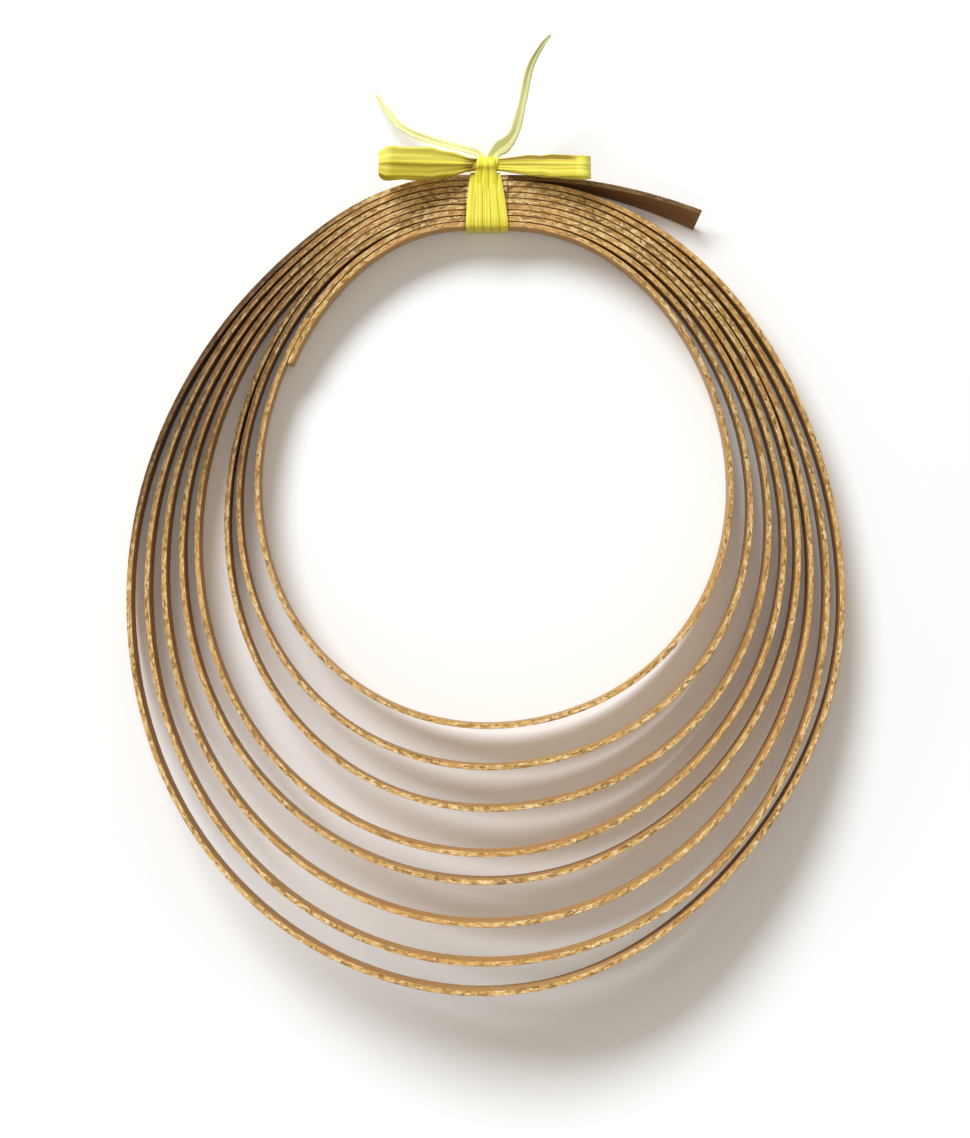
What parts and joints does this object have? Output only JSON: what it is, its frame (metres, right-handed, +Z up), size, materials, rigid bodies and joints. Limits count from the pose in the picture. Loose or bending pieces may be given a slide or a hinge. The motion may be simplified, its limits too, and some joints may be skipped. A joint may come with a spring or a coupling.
{
  "type": "wreath frame",
  "caption": "Coil of flat reed standing on its edge in nested rings, packed together at a raffia tie with a bow and spread apart at the bottom, used as the base of a wreath.",
  "frame": {"origin": "middle of the whole part's outline, on the table it lies on", "axes": "+Y from the open bottom of the rings to the tie and bow, +Z up off the table, +X to the right seen from above"},
  "size_m": [0.3052, 0.3992, 0.0401],
  "materials": {
    "reed": "matt, fibrous",
    "raffia": "matt, fibrous"
  },
  "bodies": {
    "tied_bundle": {"bound_layer_1": "reed", "bound_layer_2": "reed", "bound_layer_3": "reed", "bound_layer_4": "reed", "bound_layer_5": "reed", "bound_layer_6": "reed", "bound_layer_7": "reed", "bound_layer_8": "reed", "bound_layer_9": "reed", "wrap_strand_1": "raffia", "wrap_strand_2": "raffia", "wrap_strand_3": "raffia", "wrap_strand_4": "raffia", "wrap_strand_5": "raffia", "knot": "raffia"},
    "turn_1": {"turn_1": "reed"},
    "turn_2": {"turn_2": "reed"},
    "turn_3": {"turn_3": "reed"},
    "turn_4": {"turn_4": "reed"},
    "turn_5": {"turn_5": "reed"},
    "turn_6": {"turn_6": "reed"},
    "turn_7": {"turn_7": "reed"},
    "turn_8": {"turn_8": "reed"},
    "inner_end": {"inner_end": "reed"},
    "free_end": {"free_end": "reed"},
    "left_bow_loop": {"left_bow_loop": "raffia"},
    "right_bow_loop": {"right_bow_loop": "raffia"},
    "left_tail": {"left_tail": "raffia"},
    "right_tail": {"right_tail": "raffia"}
  },
  "joints": [
    {"name": "turn_8_lift", "type": "hinge", "parent": "tied_bundle", "child": "turn_8", "pos_m": [0.00057, 0.12456, 0.00838], "axis": [-1, 0, 0], "range_deg": [0, 2], "stiffness_Nm_per_rad": 0.3},
    {"name": "turn_7_lift", "type": "hinge", "parent": "turn_8", "child": "turn_7", "pos_m": [0.00057, 0.12706, 0.00838], "axis": [-1, 0, 0], "range_deg": [0, 2], "stiffness_Nm_per_rad": 0.3},
    {"name": "turn_6_lift", "type": "hinge", "parent": "turn_7", "child": "turn_6", "pos_m": [0.00057, 0.12956, 0.00838], "axis": [-1, 0, 0], "range_deg": [0, 2], "stiffness_Nm_per_rad": 0.3},
    {"name": "turn_5_lift", "type": "hinge", "parent": "turn_6", "child": "turn_5", "pos_m": [0.00057, 0.13206, 0.00838], "axis": [-1, 0, 0], "range_deg": [0, 2], "stiffness_Nm_per_rad": 0.3},
    {"name": "turn_4_lift", "type": "hinge", "parent": "turn_5", "child": "turn_4", "pos_m": [0.00057, 0.13456, 0.00838], "axis": [-1, 0, 0], "range_deg": [0, 2], "stiffness_Nm_per_rad": 0.3},
    {"name": "turn_3_lift", "type": "hinge", "parent": "turn_4", "child": "turn_3", "pos_m": [0.00057, 0.13706, 0.00838], "axis": [-1, 0, 0], "range_deg": [0, 2], "stiffness_Nm_per_rad": 0.3},
    {"name": "turn_2_lift", "type": "hinge", "parent": "turn_3", "child": "turn_2", "pos_m": [0.00057, 0.13956, 0.00838], "axis": [-1, 0, 0], "range_deg": [0, 2], "stiffness_Nm_per_rad": 0.3},
    {"name": "turn_1_lift", "type": "hinge", "parent": "turn_2", "child": "turn_1", "pos_m": [0.00057, 0.14206, 0.00838], "axis": [-1, 0, 0], "range_deg": [0, 2], "stiffness_Nm_per_rad": 0.3},
    {"name": "inner_end_spring_in", "type": "hinge", "parent": "tied_bundle", "child": "inner_end", "pos_m": [-0.00848, 0.12221, 0.00838], "axis": [0, 0, 1], "range_deg": [0, 10], "stiffness_Nm_per_rad": 0.05},
    {"name": "free_end_spring_out", "type": "hinge", "parent": "turn_1", "child": "free_end", "pos_m": [0.00962, 0.14441, 0.00838], "axis": [0, 0, 1], "range_deg": [0, 15], "stiffness_Nm_per_rad": 0.05},
    {"name": "left_bow_loop_fold", "type": "hinge", "parent": "tied_bundle", "child": "left_bow_loop", "pos_m": [-0.00573, 0.14866, 0.01628], "axis": [0, 1, 0], "range_deg": [0, 35], "stiffness_Nm_per_rad": 0.004},
    {"name": "right_bow_loop_fold", "type": "hinge", "parent": "tied_bundle", "child": "right_bow_loop", "pos_m": [0.00687, 0.14866, 0.01628], "axis": [0, -1, 0], "range_deg": [0, 35], "stiffness_Nm_per_rad": 0.004},
    {"name": "left_tail_swing", "type": "hinge", "parent": "tied_bundle", "child": "left_tail", "pos_m": [-0.00183, 0.15246, 0.01388], "axis": [0, 0, 1], "range_deg": [-12, 12], "stiffness_Nm_per_rad": 0.001},
    {"name": "right_tail_swing", "type": "hinge", "parent": "tied_bundle", "child": "right_tail", "pos_m": [0.00277, 0.15246, 0.01388], "axis": [0, 0, 1], "range_deg": [-12, 12], "stiffness_Nm_per_rad": 0.001}
  ]
}
